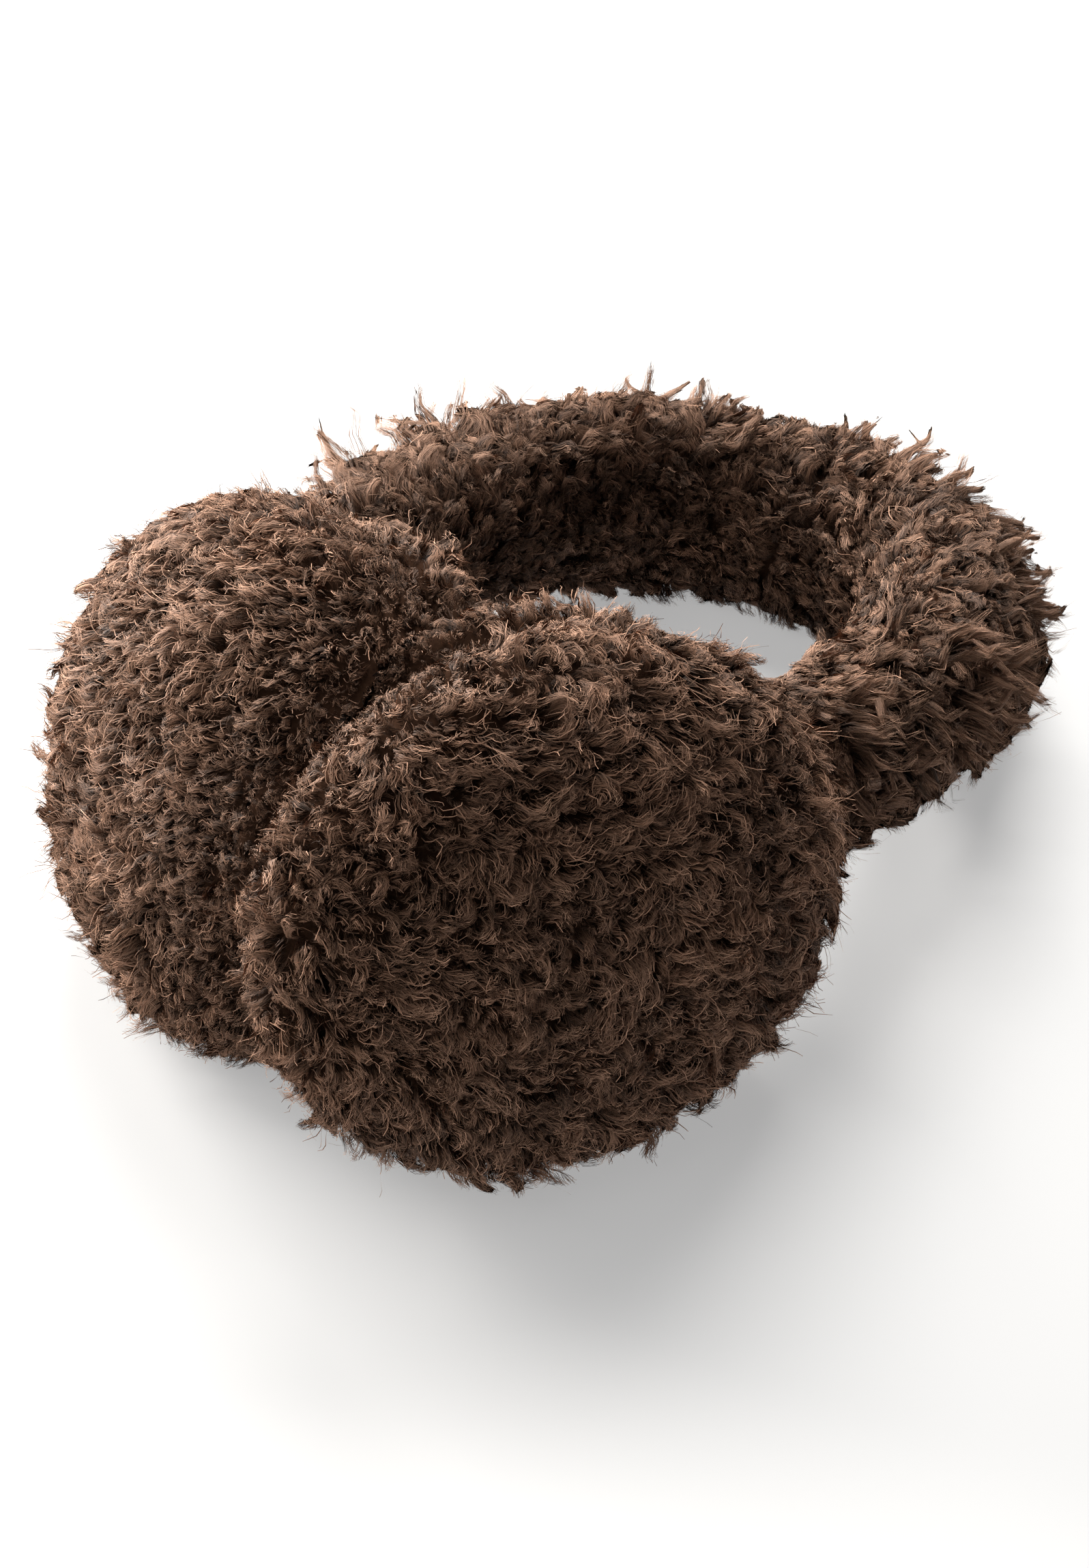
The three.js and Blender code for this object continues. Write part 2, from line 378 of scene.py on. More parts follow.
lockForm = {
    "cellArea": 0.87,  # of a six-sided cell that is 1 wide
    "seeds": 9,  # for each lock
    "evenings": 3,  # rounds that even out the locks' places
    "swirlShift": 3.1,  # each pattern is read at its own place in the noise
    "fineShift": 9.7,
    "patchShift": 21.3,
    "fineSize": 0.25,  # against the swirls
    "patchSize": 0.7,
    "fineFlow": 1.2,
    "fineBend": 0.8,
    "bend": 0.4,
    "bendSpread": 0.9,
    "patchLength": 0.3,
    "shortest": 0.6,
    "longest": 1.5,
    "rootLiftSpread": 0.12,
    "unbrushedLift": 0.7,  # radians, at the tip
    "tipLiftSpread": 0.35,
    "tone": 0.54,
    "patchTone": 0.38,
    "fineTone": 0.3,
    "toneSpread": 0.2,
    "paintedShadePower": 1.2,  # painted shade: how fast fur kept short darkens, at the seams, where the cups press and on the band's inner side
}

spikeForm = {
    "rimSlope": 3,  # how fast spikes set in towards the outer rim
    "outwardFrom": 0.9,
    "downwardTo": 0.8,
    "patchLength": 0.5,
    "tipLift": 1.1,  # radians more than other locks
    "tone": 0.12,
    "tipSpread": 0.15,
    "curl": 0.6,  # from here on, against other locks
    "ripple": 2.8,
    "stray": 0.25,
    "width": 0.6,
}

pathForm = {
    "steps": 20,
    "liftFall": 1.2,  # powers above 1 keep the bending for the tip
    "curlRise": 1.6,
    "curlStart": 0.3,
    "rippleTurn": 9,  # radians from root to tip
}

fibreForm = {
    "rootDepth": 0.0008,  # under the backing's surface
    "lockReach": 0.55,  # from a lock's middle to its outer fibres, as a share of its width
    "farthest": 1.3,
    "outerShorter": 0.25,
    "length": 0.85,
    "lengthSpread": 0.25,
    "width": 0.7,
    "widthSpread": 0.6,
    "gathering": 0.8,
    "pullRise": 1.6,
    "raisedFacing": 0.7,
    "facingSpread": 0.15,
    "toneSpread": 0.2,
    "floorSpread": 2,  # keeps flattened fibres from lying in one plane
    "looseHeight": 0.02,  # no hair is loose below this
    "looseStray": 2,
    "looseLength": 1.05,
    "loosePull": 0.1,
    "widthStops": (0, 0.4, 0.8, 1),
    "widths": (0.7, 1, 0.9, 0.6),  # at those stops
    "surfaceShading": 0.9,  # how far a strip is shaded like the surface that it grows on
    "rounding": 0.4,  # how round a flat strip is shaded
}

fibreStray = {"flow": 0.15, "curl": 0.15, "rootLift": 0.1, "tipLift": 0.2, "phase": 0.4}

backingMap = {  # the dark strip of the map, at the locks' roots, where the backings lie
    "middle": np.array([0.3, 0.06]),
    "reach": np.array([0.2, 0.03]),
    "waves": np.array([3e3, 4e3]),  # radians in a metre
}

headMiddle = np.array([0.005, 0.03, 0])
tiny = 1e-6  # gives a sum of nothing a direction


def scatter(arrays, count, random, keep):
    points, faces, normals, areas = arrays
    weights = areas * keep(points[faces].mean(1), normals[faces].mean(1))
    chosen = faces[random.choice(len(faces), count, p=weights / weights.sum())]
    share = random.random((count, 2))
    share[share.sum(1) > 1] = 1 - share[share.sum(1) > 1]
    corners = np.stack([1 - share.sum(1), share[:, 0], share[:, 1]], 1)[..., None]
    return (points[chosen] * corners).sum(1), unit((normals[chosen] * corners).sum(1)), weights.sum()


def nearest(points, centres):
    tree = kdtree.KDTree(len(centres))
    for index, centre in enumerate(centres):
        tree.insert(centre, index)
    tree.balance()
    return np.array([tree.find(point)[1] for point in points])


def swirlAt(points, size, shift):
    start = Vector((shift, shift, shift))
    return np.array([noise.noise_vector(Vector(point) / size + start) for point in points])


def spreadEvenly(arrays, settings, random, keep):
    _, _, area = scatter(arrays, 1, random, keep)
    count = int(area / (settings["lockWidth"] ** 2 * lockForm["cellArea"]))
    seeds, seedNormals, _ = scatter(arrays, lockForm["seeds"] * count, random, keep)
    centres = seeds[:count]
    for _ in range(lockForm["evenings"]):
        owner = nearest(seeds, centres)
        shares = np.bincount(owner, minlength=count)[:, None]
        sums = np.stack([np.bincount(owner, seeds[:, axis], count) for axis in range(3)], 1)
        centres = np.where(shares > 0, sums / np.maximum(shares, 1), centres)
    normals = np.stack([np.bincount(owner, seedNormals[:, axis], count) for axis in range(3)], 1)
    return centres, unit(normals + tiny)


def onOuterRim(centres, normals):
    outward = dot(normals, unit((centres - headMiddle) * [1, 1, 0]))[:, 0]
    outer = np.clip(spikeForm["rimSlope"] * outward - spikeForm["outwardFrom"], 0, 1)
    return outer * np.clip(spikeForm["rimSlope"] * normals[:, 2] + spikeForm["downwardTo"], 0, 1)


def placeLocks(arrays, settings, random, keep, brushAt, lengthAndShadeAt):
    form = lockForm
    centres, normals = spreadEvenly(arrays, settings, random, keep)
    count = len(centres)
    swirl = swirlAt(centres, settings["swirlSize"], form["swirlShift"])
    fine = swirlAt(centres, settings["swirlSize"] * form["fineSize"], form["fineShift"])
    patch = swirlAt(centres, settings["swirlSize"] * form["patchSize"], form["patchShift"])[:, 0]
    flow = settings["brush"] * brushAt(centres, normals) + settings["swirl"] * swirl
    flow = flow + form["fineFlow"] * fine
    flow = flow - dot(flow, normals) * normals
    pulled = np.clip(np.linalg.norm(flow, axis=1), 0, 1)
    spike = random.random(count) < settings["spikes"] * onOuterRim(centres, normals)
    spikeLength = settings["spikeLength"] * (1 + spikeForm["patchLength"] * patch)
    length = 1 + form["patchLength"] * patch + settings["lengthSpread"] * random.normal(size=count)
    length = settings["length"] * np.clip(length, form["shortest"], form["longest"])
    bend = np.where(swirl[:, 0] + form["fineBend"] * fine[:, 1] > 0, 1, -1)
    bend = bend * (form["bend"] + form["bendSpread"] * random.random(count))
    lengthAndShade = lengthAndShadeAt(centres, normals)
    rootLift = settings["rootLift"] + form["rootLiftSpread"] * random.normal(size=count)
    tipLift = settings["tipLift"] * pulled + form["unbrushedLift"] * (1 - pulled)
    tipLift = tipLift + form["tipLiftSpread"] * random.normal(size=count) + spikeForm["tipLift"] * spike
    phase = 2 * math.pi * random.random(count)
    tone = form["tone"] + form["patchTone"] * patch + form["fineTone"] * fine[:, 2]
    # painted shade: locks kept short are darkened, at the seams, where the cups press and on the band's
    # inner side
    tone = (tone + form["toneSpread"] * random.normal(size=count)) * lengthAndShade ** form["paintedShadePower"]
    return {
        "roots": centres,
        "normals": normals,
        "flow": unit(flow),
        "spike": spike,
        "length": length * lengthAndShade * np.where(spike, spikeLength, 1),
        "curl": settings["curl"] * bend * np.where(spike, spikeForm["curl"], 1),
        "rootLift": rootLift,
        "tipLift": tipLift,
        "ripple": settings["ripple"] * np.where(spike, spikeForm["ripple"], 1),
        "phase": phase,
        "tone": spikeForm["tone"] * spike + tone,
    }


# A path is stepped finely, then keeps the points at its stops, so that its corners lie on the curve

def curlPaths(roots, normals, flow, length, curl, rootLift, tipLift, ripple, phase, stops):
    steps = pathForm["steps"]
    side = np.cross(normals, flow)
    middles = (np.arange(steps) + 0.5) / steps
    lift = tipLift[:, None] + (rootLift - tipLift)[:, None] * (1 - middles) ** pathForm["liftFall"]
    turn = curl[:, None] * (middles ** pathForm["curlRise"] - pathForm["curlStart"])
    level = np.cos(turn)[..., None] * flow[:, None] + np.sin(turn)[..., None] * side[:, None]
    ahead = np.cos(lift)[..., None] * level + np.sin(lift)[..., None] * normals[:, None]
    paths = np.cumsum(ahead * (length / steps)[:, None, None], 1)
    paths = np.concatenate([np.zeros_like(paths[:, :1]), paths], 1) + roots[:, None]
    along = np.linspace(0, 1, steps + 1)
    wave = ripple[:, None] * along * np.sin(phase[:, None] + pathForm["rippleTurn"] * along)
    paths = paths + wave[..., None] * side[:, None]
    return paths[:, np.round(stops * steps).astype(int)]


def growFibres(arrays, settings, locks, fibre, count, random, keep, pushOut):
    form = fibreForm
    roots, normals, _ = scatter(arrays, count, random, keep)
    owner = nearest(roots, locks["roots"])
    own = {key: values[owner] for key, values in locks.items()}
    spike = own["spike"]
    loose = (random.random(count) < fibre["loose"]) & ~spike & (roots[:, 2] > form["looseHeight"])
    stray = np.where(loose, form["looseStray"], np.where(spike, spikeForm["stray"], 1))
    stray = settings["stray"] * fibre["stray"] * stray

    def astray(key):
        return fibreStray[key] * stray * random.normal(size=count)

    offset = roots - own["roots"]
    reach = np.linalg.norm(offset, axis=1) / (form["lockReach"] * settings["lockWidth"])
    flow = own["flow"] - dot(own["flow"], normals) * normals
    flow = flow + fibreStray["flow"] * stray[:, None] * random.normal(size=(count, 3)) + tiny
    length = own["length"] * (1 - form["outerShorter"] * np.minimum(reach, form["farthest"]) ** 2)
    length = length * (form["length"] + form["lengthSpread"] * random.random(count))
    length = length * np.where(loose, form["looseLength"], 1)
    curl = own["curl"] * fibre["curliness"] * (1 + astray("curl"))
    rootLift = own["rootLift"] + astray("rootLift")
    tipLift = own["tipLift"] + fibre["raised"] + astray("tipLift")
    phase = own["phase"] + astray("phase")
    ripple = own["ripple"] * stray
    stops = np.array(fibre["stops"])
    paths = curlPaths(roots, normals, unit(flow), length, curl, rootLift, tipLift, ripple, phase, stops)

    lockParts = ("roots", "normals", "flow", "length", "curl", "rootLift", "tipLift", "ripple", "phase")
    guides = curlPaths(*(locks[key] for key in lockParts), stops)[owner]
    tipSpread = np.where(spike, spikeForm["tipSpread"], settings["tipSpread"])[:, None]
    narrowing = 1 - (1 - tipSpread) * stops ** form["gathering"]
    gathered = guides + offset[:, None] * narrowing[..., None]
    pull = np.where(loose, form["loosePull"], fibre["pull"])[:, None]
    pull = pull * np.minimum(form["pullRise"] * stops, 1)
    paths = paths + (gathered - paths) * pull[..., None]
    facing = unit(paths - guides + tiny) + form["raisedFacing"] * normals[:, None]
    facing = unit(facing + form["facingSpread"] * random.normal(size=(count, 1, 3)))
    paths[:, 0] -= normals * form["rootDepth"] * (stops[0] == 0)
    paths = pushOut(paths)
    floor = layout["floorSkin"] * (1 + form["floorSpread"] * random.random((count, 1)))
    paths[:, :, 2] = np.maximum(paths[:, :, 2], floor)
    width = fibre["width"] * (form["width"] + form["widthSpread"] * random.random(count))
    width = width * np.where(spike, spikeForm["width"], 1)
    darkest, lightest = fibre["tones"]
    tone = np.clip(own["tone"] + form["toneSpread"] * random.normal(size=count), 0, 1)
    tone = darkest + (lightest - darkest) * tone
    if fibre is bundleFibre:
        tone = (np.floor(tone * furLook["columns"]) + 0.5) / furLook["columns"]
    return ribbons(paths, facing, normals, width, tone, fibre)


# Each fibre is a flat strip

def ribbons(paths, facing, normals, width, tone, fibre):
    count, corners = paths.shape[:2]
    ahead = unit(np.gradient(paths, axis=1))
    across = unit(np.cross(ahead, facing))
    lean = fibreForm["surfaceShading"] * normals[:, None] + np.cross(across, ahead)
    half = np.interp(fibre["stops"], fibreForm["widthStops"], fibreForm["widths"])
    half = half * width[:, None] / 2
    along = np.broadcast_to(fibre["stops"], half.shape)

    def line(side):
        shading = unit(lean + side * fibreForm["rounding"] * across)
        column = np.broadcast_to(tone[:, None] + side * fibre["reach"], half.shape)
        edge = paths + side * half[..., None] * across
        return np.concatenate([edge, shading, np.stack([column, along], -1)], -1)

    rows = np.concatenate([line(1), line(-1)], 1)
    rows[..., 2] = np.maximum(rows[..., 2], layout["floorSkin"])
    strip = [[k, k + 1, k + corners + 1] for k in range(corners - 1)]
    strip += [[k, k + corners + 1, k + corners] for k in range(corners - 1)]
    faces = np.array(strip)[None] + rows.shape[1] * np.arange(count)[:, None, None]
    rows = rows.reshape(-1, rows.shape[-1])
    return rows[:, :3], rows[:, 3:6], rows[:, 6:], faces.reshape(-1, 3)


def growFur(arrays, settings, random, keep, pushOut, brushAt, lengthAndShadeAt):
    locks = placeLocks(arrays, settings, random, keep, brushAt, lengthAndShadeAt)
    counts = ((bundleFibre, settings["bundles"]), (hairFibre, settings["hairs"]))
    return [
        growFibres(arrays, settings, locks, fibre, count, random, keep, pushOut)
        for fibre, count in counts
    ]


def furPiece(name, node, material, fur, backing):
    parts = list(fur)
    if backing:
        points, faces, normals, _ = backing
        waves = np.sin(backingMap["waves"] * points[:, [1, 0]])
        parts.append((points, normals, backingMap["middle"] + backingMap["reach"] * waves, faces))
    starts = np.cumsum([0] + [len(part[0]) for part in parts])
    allPoints, allNormals, allMaps = (np.concatenate([part[k] for part in parts]) for k in range(3))
    corners = np.concatenate([part[3] + start for part, start in zip(parts, starts)])
    corners = corners.astype(np.int32).ravel()

    mesh = bpy.data.meshes.new(name)
    mesh.vertices.add(len(allPoints))
    mesh.vertices.foreach_set("co", allPoints.astype(np.float32).ravel())
    mesh.loops.add(len(corners))
    mesh.loops.foreach_set("vertex_index", corners)
    mesh.polygons.add(len(corners) // 3)
    mesh.polygons.foreach_set("loop_start", np.arange(0, len(corners), 3, dtype=np.int32))
    mesh.polygons.foreach_set("use_smooth", np.ones(len(corners) // 3, bool))
    mesh.uv_layers.new(name="OFBake").data.foreach_set("uv", allMaps[corners].astype(np.float32).ravel())
    mesh.update(calc_edges=True)
    mesh.normals_split_custom_set_from_vertices(allNormals.astype(np.float32))
    mesh.materials.append(material)
    mesh.materials.append(furRoots)
    roots = np.zeros(len(corners) // 3, np.int32)
    if backing:
        roots[-len(backing[1]):] = 1
    mesh.polygons.foreach_set("material_index", roots)
    piece = bpy.data.objects.new(name, mesh)
    scene.collection.objects.link(piece)
    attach(piece, "root")
    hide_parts(node)
    report(f"{name}: {len(corners) // 3} triangles")


# Materials. A wrapped socket takes part in Python sums

class Wire:
    def __init__(self, tree, socket):
        self.tree = tree
        self.socket = socket

    def make(self, kind, settings=None, **inputs):
        node = self.tree.nodes.new(kind)
        for key, value in (settings or {}).items():
            setattr(node, key, value)
        for key, value in inputs.items():
            place = node.inputs[int(key[2:]) if key.startswith("at") else key]
            if isinstance(value, Wire):
                self.tree.links.new(value.socket, place)
            else:
                place.default_value = value
        return node

    def math(self, operation, *values):
        inputs = {f"at{k}": value for k, value in enumerate((self, *values))}
        return Wire(self.tree, self.make("ShaderNodeMath", {"operation": operation}, **inputs).outputs[0])

    def __add__(self, other):
        return self.math("ADD", other)

    def __mul__(self, other):
        return self.math("MULTIPLY", other)

    def __sub__(self, other):
        return self.math("SUBTRACT", other)

    def __rsub__(self, other):
        return self.math("MULTIPLY", -1).math("ADD", other)

    __radd__ = __add__
    __rmul__ = __mul__


def furMaterial(name, look):
    material = bpy.data.materials.new(name)
    material.use_nodes = True
    tree = material.node_tree
    shader = tree.nodes["Principled BSDF"]
    wire = Wire(tree, None)
    place = wire.make("ShaderNodeUVMap", {"uv_map": "OFBake"}).outputs["UV"]
    split = wire.make("ShaderNodeSeparateXYZ", at0=Wire(tree, place))
    tone, along = Wire(tree, split.outputs[0]), Wire(tree, split.outputs[1])
    column = (tone * look["columns"]).math("FLOOR")
    cross = (tone * look["columns"]).math("FRACT")
    wave = (along * look["waves"] + column * look["waveShift"]).math("SINE") * look["waveSize"]
    layers = []
    for layer, slope in enumerate((look["slope"], -look["slope"])):
        across = (cross + wave + along * slope) * look["hairsAcross"] + column * look["columnShift"]
        across = across + look["layerShift"] * layer
        where = wire.make("ShaderNodeCombineXYZ", X=across, Y=along * look["drift"])
        plane = Wire(tree, where.outputs[0])
        flat = {"noise_dimensions": "2D"}
        grain = wire.make("ShaderNodeTexNoise", flat, Vector=plane, Scale=1.0, Detail=1.0, Roughness=0.5)
        layers.append(Wire(tree, grain.outputs[0]) - 0.5)
    shades = wire.make("ShaderNodeSeparateXYZ", at0=Wire(tree, grain.outputs[1]))
    shade = Wire(tree, shades.outputs[1]) - 0.5
    streak = layers[0].math("MAXIMUM", layers[1])
    over = layers[0] - layers[1]
    ramp = wire.make("ShaderNodeValToRGB", at0=along + over * look["streakShift"])
    stops = ramp.color_ramp.elements
    while len(stops) < len(look["stops"]):
        stops.new(0.5)
    for stop, (position, color) in zip(stops, look["stops"]):
        stop.position = position
        stop.color = (*color, 1)
    isHair = tone.math("GREATER_THAN", look["hairsFrom"])
    hairTone = (tone - look["hairsFrom"]).math("MAXIMUM", 0) * look["hairSpread"]
    hairTone = hairTone + isHair * look["hairTone"]
    level = tone * (1 - isHair) + hairTone
    # each strand is painted lighter along its middle and darker towards its edges, a painted highlight
    # and shade, over tone that differs from strand to strand
    brightness = level * look["toneSpread"] + streak * look["streakDepth"] + shade * look["shadeDepth"]
    brightness = brightness.math("MAXIMUM", look["darkest"])
    color = Wire(tree, ramp.outputs["Color"])
    bright = wire.make("ShaderNodeVectorMath", {"operation": "SCALE"}, at0=color, Scale=brightness)
    tree.links.new(bright.outputs[0], shader.inputs["Base Color"])

    edge = ((cross - 0.5).math("ABSOLUTE") - look["edgeFrom"]).math("MAXIMUM", 0) * look["edgeCut"]
    tip = (along - look["tipFrom"]).math("MAXIMUM", 0) * look["tipCut"]
    solid = streak.math("GREATER_THAN", edge + tip + look["gaps"])
    solid = solid.math("MAXIMUM", along.math("LESS_THAN", look["solidRoot"])).math("MAXIMUM", isHair)
    tree.links.new(solid.socket, shader.inputs["Alpha"])
    for key, value in look["finish"].items():
        shader.inputs[key].default_value = value
    return material


furLook = {
    # from root to tip: the near-black roots are partly the fibres' own darker colour and partly painted
    # shade deep in the pile
    "stops": [
        (0.0, (0.018, 0.009, 0.006)),
        (0.35, (0.065, 0.034, 0.020)),
        (0.75, (0.195, 0.109, 0.071)),
        (1.0, (0.36, 0.213, 0.142)),
    ],
    "columns": 40,  # of the map, each as wide as a bundle, with strands of its own
    "columnShift": 7.31,
    "hairsAcross": 10,  # strands in a bundle
    "drift": 1.1,
    "waves": 9.0,  # radians from root to tip
    "waveShift": 2.4,
    "waveSize": 0.3,
    "slope": 0.5,  # the two layers of strands cross each other
    "layerShift": 400,
    "toneSpread": 1.65,
    # painted highlight and shade across each strand, with the strands' own differing tone
    "streakDepth": 3.4,
    "shadeDepth": 3.0,
    "streakShift": 0.4,
    "darkest": 0.1,
    "gaps": 0.13,  # what is darker than this is cut away
    "edgeFrom": 0.3,
    "edgeCut": 0.5,
    "tipFrom": 0.7,
    "tipCut": 0.3,
    "solidRoot": 0.06,
    "hairsFrom": 0.9,  # single hairs lie on the map from here on
    # single hairs are lighter: partly their own paler colour, partly painted light that they catch
    "hairTone": 0.5,
    "hairSpread": 6,
    "finish": {
        "Roughness": 0.6,
        "Specular IOR Level": 0.12,
    },
}

bandLook = {**furLook, "hairsAcross": 13, "streakDepth": 1.8, "shadeDepth": 2.0}

# The backing is the pile's base; its near-black browns are painted shade, the dark seen deep between the
# locks, over a grain of its own
rootLook = {
    "grain": {"Scale": 900, "Detail": 3.0},
    "dark": (0.012, 0.006, 0.004),
    "light": (0.05, 0.026, 0.016),
}


def rootMaterial(name, look):
    material = bpy.data.materials.new(name)
    material.use_nodes = True
    tree = material.node_tree
    shader = tree.nodes["Principled BSDF"]
    wire = Wire(tree, None)
    place = wire.make("ShaderNodeTexCoord").outputs["Object"]
    grain = wire.make("ShaderNodeTexNoise", Vector=Wire(tree, place), **look["grain"])
    shades = {"at6": (*look["dark"], 1), "at7": (*look["light"], 1)}
    mix = wire.make("ShaderNodeMix", {"data_type": "RGBA"}, Factor=Wire(tree, grain.outputs[0]), **shades)
    tree.links.new(mix.outputs[2], shader.inputs["Base Color"])
    shader.inputs["Roughness"].default_value = 1
    shader.inputs["Specular IOR Level"].default_value = 0
    return material


furBrown = furMaterial("curly_brown_fur", furLook)
bandBrown = furMaterial("soft_brown_fur", bandLook)
furRoots = rootMaterial("fur_roots", rootLook)


# Growing the fur piece by piece

growing = {
    "seed": 7,
    "lowestRoot": 0.0008,
    "covered": 0.93,  # how squarely a face turned to the seam has to look there to stay bare
    "undersideFrom": 0.6,
    "underside": 0.5,  # share of the fur there
    "seamStart": 0.001,
    "seamLength": 0.22,  # share of the length at the seam, where the fur is also darkened as painted shade
    "pressedLength": 0.4,  # the same where the cups press on each other, where the fur is also darkened as painted shade
    "brushDown": 0.45,
    "cushion": 0.0025,  # around the right cup, which the left cup's fur stays out of
    "coreInset": 0.001,  # how deep in a neighbour fur may be rooted
    "leastSize": 0.05,  # keeps what is near a cup's middle from flying off
}

# pressReach is how far from the other cup its press is felt, in shorter fur and painted shade, as a share
# of that cup's size

sides = {
    "right": {"brush": (0.70, 0.18), "pressReach": 0.5},
    "left": {"brush": (-0.69, -0.41), "pressReach": 0.75},
}

halves = {
    "cup": {"fur": cupFur, "outward": 1, "fill": 0.85},
    "pad": {"fur": padFur, "outward": -1, "fill": 0.6},
}

bandGrowing = {
    "sweep": 0.7,  # along the band
    "raise": 1.5,  # upwards, on the side towards the head
    "raiseFrom": 0.1,
    "droop": 0.3,  # on the outer side
    "innerLength": 0.65,  # share of the length on the side towards the head, where the fur is also darkened as painted shade
    "innerFrom": 0.8,
    "fill": 0.8,
}


# A cup and its pad are taken as one ellipsoid. A point's size is 1 on it and more outside it

def besideCup(frameMatrix, grow):
    inverse = np.array(frameMatrix.inverted())
    forward = np.array(frameMatrix)
    middle = np.array([0, (cupShape["depth"] - padShape["depth"]) / 2, 0])
    size = np.array([cupShape["width"], cupShape["depth"] + padShape["depth"], cupShape["height"]])
    radii = size / 2 + grow

    def sizeAt(points):
        local = points @ inverse[:3, :3].T + inverse[:3, 3] - middle
        return local, np.linalg.norm(local / radii, axis=-1, keepdims=True)

    def pushOut(points):
        local, size = sizeAt(points)
        local = np.where(size < 1, local / np.maximum(size, growing["leastSize"]), local)
        return (local + middle) @ forward[:3, :3].T + forward[:3, 3]

    def sizeOf(points):
        return sizeAt(points)[1][..., 0]

    return pushOut, sizeOf


def furAround(frameMatrix, side, half, sizeOfOther):
    outward = np.array(frameMatrix.col[1][:3])
    seam = np.array(frameMatrix.col[3][:3])
    seamRange = (growing["seamStart"], half["fur"]["seamReach"])
    pressRange = (1, 1 + side["pressReach"])
    brush = np.array([*side["brush"], 0]) * half["fur"]["brushOutward"] - [0, 0, growing["brushDown"]]

    def keep(points, normals):
        covered = (normals @ outward) * half["outward"] < -growing["covered"]
        free = (sizeOfOther(points) > 1) * (points[:, 2] > growing["lowestRoot"]) * ~covered
        return free * np.where(normals[:, 2] < -growing["undersideFrom"], growing["underside"], 1)

    # the share of the length at the seam and where the cups press, which also darkens the fur there as
    # painted shade
    def lengthAndShadeAt(points, normals):
        fromSeam = np.interp(np.abs((points - seam) @ outward), seamRange, [growing["seamLength"], 1])
        return fromSeam * np.interp(sizeOfOther(points), pressRange, [growing["pressedLength"], 1])

    def brushAt(points, normals):
        return brush

    return keep, lengthAndShadeAt, brushAt


def stay(points):
    return points


pushPastRight, sizeOfRight = besideCup(frames["right"], growing["cushion"])
_, sizeOfRightCore = besideCup(frames["right"], -growing["coreInset"])
_, sizeOfLeftCore = besideCup(frames["left"], -growing["coreInset"])
neighbours = {"right": (stay, sizeOfLeftCore), "left": (pushPastRight, sizeOfRight)}


def brushBand(points, normals):
    outward = unit((points - headMiddle) * [1, 1, 0])
    inner = np.clip(-dot(normals, outward) + bandGrowing["raiseFrom"], 0, 1)
    upwards = bandGrowing["raise"] * inner - bandGrowing["droop"]
    return outward + bandGrowing["sweep"] * np.cross(outward, [0, 0, 1]) + upwards * np.array([0, 0, 1])


def keepBand(points, normals):
    free = (points[:, 2] > growing["lowestRoot"]) * (sizeOfRightCore(points) > 1)
    return free * (sizeOfLeftCore(points) > 1)


# the share of the length on the side towards the head, which also darkens the fur there as painted shade
def bandLengthAndShadeAt(points, normals):
    towardsHead = dot(normals, unit((headMiddle - points) * [1, 1, 0]))[:, 0]
    return np.interp(towardsHead, [0, bandGrowing["innerFrom"]], [1, bandGrowing["innerLength"]])


random = np.random.default_rng(growing["seed"])

for side, (pushOut, sizeOfOther) in neighbours.items():
    for part, half in halves.items():
        node = f"{side}_ear_{part}"
        backing = meshArrays(backings[node])
        keep, lengthAndShadeAt, brushAt = furAround(frames[side], sides[side], half, sizeOfOther)
        fur = growFur(backing, half["fur"], random, keep, pushOut, brushAt, lengthAndShadeAt)
        furPiece(f"{side}_{part}_fur", node, furBrown, fur, backing)

backing = meshArrays(backings["headband"])
bandPieces = (("headband_underfur", bandFur, backing), ("headband_long_curls", upperBandFur, None))

for name, settings, under in bandPieces:
    fur = growFur(backing, settings, random, keepBand, stay, brushBand, bandLengthAndShadeAt)
    furPiece(name, "headband", bandBrown, fur, under)
report("fur")


# Floor, light and camera

studio = {
    "floorSize": 4,
    "floorColor": (0.38, 0.38, 0.38, 1),
    "floorRoughness": 0.8,
    "floorGlow": 0.38,  # a lit table, so that shadows stay pale
    "worldColor": (0.95, 0.97, 1, 1),
    "worldStrength": 0.11,
    "lightsAim": Vector((0, -0.03, 0.04)),
}

lights = {
    "key_left": {"place": (-1.78, 0.20, 0.66), "size": 1.2, "energy": 130, "color": (1, 0.97, 0.93)},
    "high_front": {"place": (-0.60, -1.09, 1.50), "size": 1.3, "energy": 8, "color": (1, 0.98, 0.95)},
    "high_back": {"place": (-0.47, 1.20, 1.38), "size": 1.3, "energy": 76, "color": (1, 0.98, 0.95)},
}


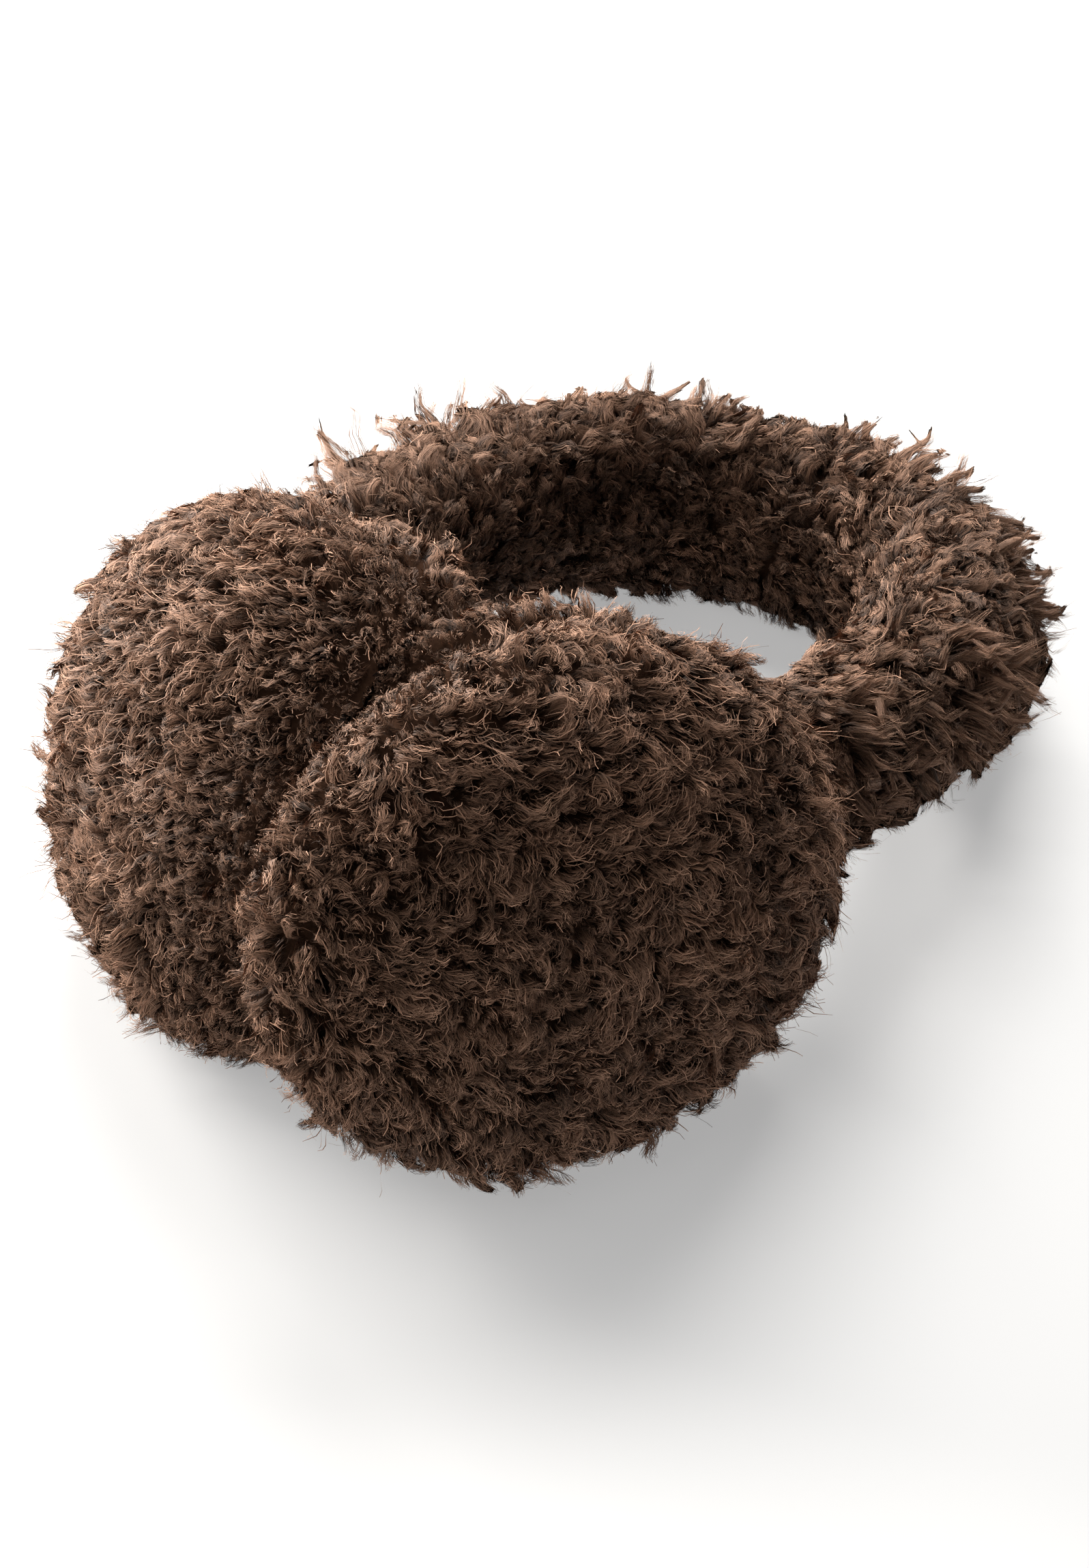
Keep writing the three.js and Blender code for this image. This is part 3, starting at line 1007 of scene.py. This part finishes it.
def makeFloor():
    shell = bmesh.new()
    bmesh.ops.create_grid(shell, x_segments=1, y_segments=1, size=studio["floorSize"])
    floor = bpy.data.objects.new("floor", asMesh(shell))
    scene.collection.objects.link(floor)
    material = bpy.data.materials.new("pale_floor")
    material.use_nodes = True
    shader = material.node_tree.nodes["Principled BSDF"]
    shader.inputs["Base Color"].default_value = studio["floorColor"]
    shader.inputs["Roughness"].default_value = studio["floorRoughness"]
    shader.inputs["Emission Color"].default_value = (1, 1, 1, 1)
    shader.inputs["Emission Strength"].default_value = studio["floorGlow"]
    floor.data.materials.append(material)


def makeLight(name, place, size, energy, color):
    light = bpy.data.lights.new(name, "AREA")
    light.size = size
    light.energy = energy
    light.color = color
    lamp = bpy.data.objects.new(name, light)
    lamp.location = place
    lamp.rotation_euler = (studio["lightsAim"] - Vector(place)).to_track_quat("-Z", "Y").to_euler()
    scene.collection.objects.link(lamp)


def makeWorld():
    world = bpy.data.worlds.new("studio")
    world.use_nodes = True
    background = world.node_tree.nodes["Background"]
    background.inputs["Color"].default_value = studio["worldColor"]
    background.inputs["Strength"].default_value = studio["worldStrength"]
    scene.world = world


makeFloor()
for name, look in lights.items():
    makeLight(name, **look)
makeWorld()

# Fitted to the outlines of the cups and the headband

cameraView = {
    "azimuth": math.radians(30.568),
    "elevation": math.radians(38.521),
    "distance": 0.886936,
    "target": Vector((0.006425, -0.012513, 0.052133)),
    "focalPixels": 5668.454,
    "sensor": 36,  # millimetres
    "middle": (782.28, 1031.403),  # of the lens, in the photograph's pixels
    "frame": (1596, 2298),
}


def makeCamera():
    around = cameraView["azimuth"]
    above = cameraView["elevation"]
    level = math.cos(above)
    back = Vector((math.sin(around) * level, -math.cos(around) * level, math.sin(above)))
    camera = bpy.data.objects.new("camera", bpy.data.cameras.new("camera"))
    camera.location = cameraView["target"] + back * cameraView["distance"]
    camera.rotation_euler = back.to_track_quat("Z", "Y").to_euler()
    width, height = cameraView["frame"]
    camera.data.sensor_width = cameraView["sensor"]
    camera.data.lens = cameraView["focalPixels"] * cameraView["sensor"] / height
    camera.data.shift_x = (width / 2 - cameraView["middle"][0]) / height
    camera.data.shift_y = (cameraView["middle"][1] - height / 2) / height
    scene.collection.objects.link(camera)
    scene.camera = camera


makeCamera()
scene.view_settings.view_transform = "Standard"
report("scene")
